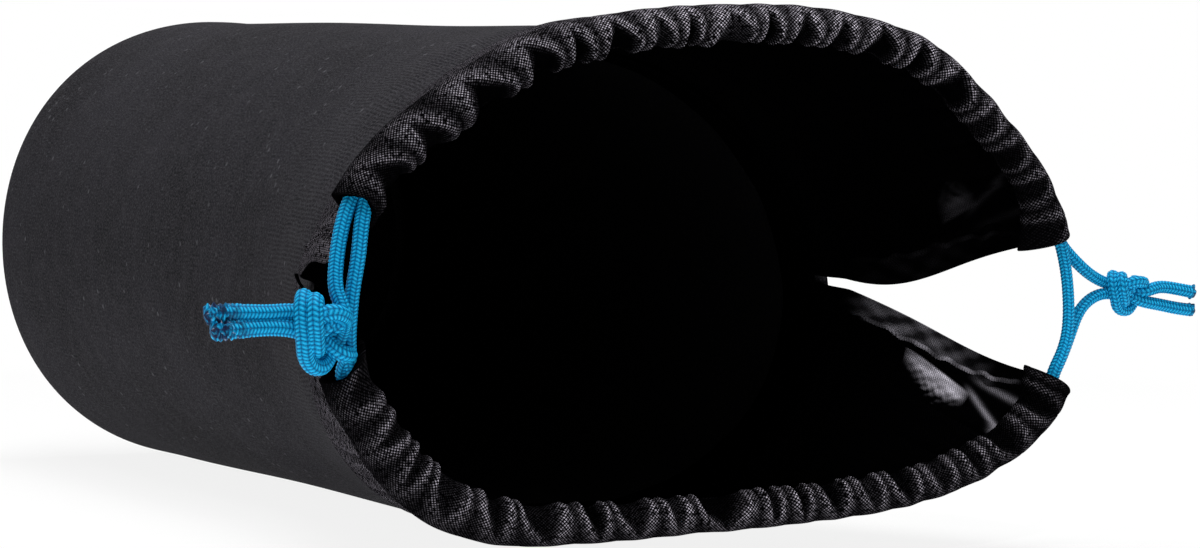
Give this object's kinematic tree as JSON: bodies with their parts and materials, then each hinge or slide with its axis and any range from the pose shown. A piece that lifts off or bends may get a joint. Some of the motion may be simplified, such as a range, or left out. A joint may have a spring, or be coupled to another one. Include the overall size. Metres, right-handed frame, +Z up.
{
  "type": "lens pouch",
  "caption": "Soft padded tube pouch lying on its side, with a slit woven collar at its mouth that knotted drawcords in gathered hems pull shut over a lens.",
  "frame": {"origin": "middle of the flattened strip on the underside that the pouch lies on", "axes": "+Y along the tube from the mouth to the base, +Z up, +X to the right seen from the mouth"},
  "size_m": [0.2626, 0.3448, 0.1312],
  "materials": {
    "neoprene": "matte charcoal foam rubber with a fine knitted face",
    "foam": "open-cell foam pad, hidden",
    "fleece": "short black fleece",
    "woven": "black twill-woven nylon with a soft sheen",
    "braid": "bright cyan-blue braided cord"
  },
  "bodies": {
    "pouch": {"body_shell": "neoprene", "base_disc": "neoprene", "base_pad": "foam", "body_lining": "fleece", "base_lining": "fleece", "base_seam_tape": "woven", "mouth_binding": "woven", "collar_upper": "woven", "collar_lower": "woven", "left_cord_crossing": "braid", "left_cord_upper_lead": "braid", "left_cord_lower_lead": "braid", "right_cord_crossing": "braid", "right_cord_upper_lead": "braid", "right_cord_lower_lead": "braid"},
    "upper_hem": {"hem_upper": "woven", "left_cord_upper_run": "braid", "right_cord_upper_run": "braid"},
    "lower_hem": {"hem_lower": "woven", "left_cord_lower_run": "braid", "right_cord_lower_run": "braid"},
    "left_pull": {"left_knot": "braid", "left_tail_upper": "braid", "left_tail_lower": "braid"},
    "right_pull": {"right_knot": "braid", "right_tail_upper": "braid", "right_tail_lower": "braid"}
  },
  "joints": [
    {"name": "upper_hem_fold", "type": "hinge", "parent": "pouch", "child": "upper_hem", "pos_m": [0.00512, -0.202, 0.08], "axis": [-0.9979, 0, 0.0654], "range_deg": [0, 108], "deforming": ["collar_upper", "left_cord_crossing", "right_cord_crossing"]},
    {"name": "lower_hem_fold", "type": "hinge", "parent": "pouch", "child": "lower_hem", "pos_m": [0.00241, -0.202, 0.044], "axis": [0.9995, 0, -0.0325], "range_deg": [0, 108], "deforming": ["collar_lower"]},
    {"name": "left_cord_pull", "type": "slide", "parent": "pouch", "child": "left_pull", "axis": [-1, 0, 0], "range_m": [0, 0.036], "deforming": ["left_cord_upper_lead", "left_cord_lower_lead"]},
    {"name": "right_cord_pull", "type": "slide", "parent": "pouch", "child": "right_pull", "axis": [1, 0, 0], "range_m": [0, 0.036], "deforming": ["right_cord_upper_lead", "right_cord_lower_lead"]}
  ],
  "couplings": [
    {"joint": "lower_hem_fold", "follows": "upper_hem_fold", "ratio": 1},
    {"joint": "left_cord_pull", "follows": "upper_hem_fold", "m_per_rad": 0.019},
    {"joint": "right_cord_pull", "follows": "upper_hem_fold", "m_per_rad": 0.019}
  ]
}
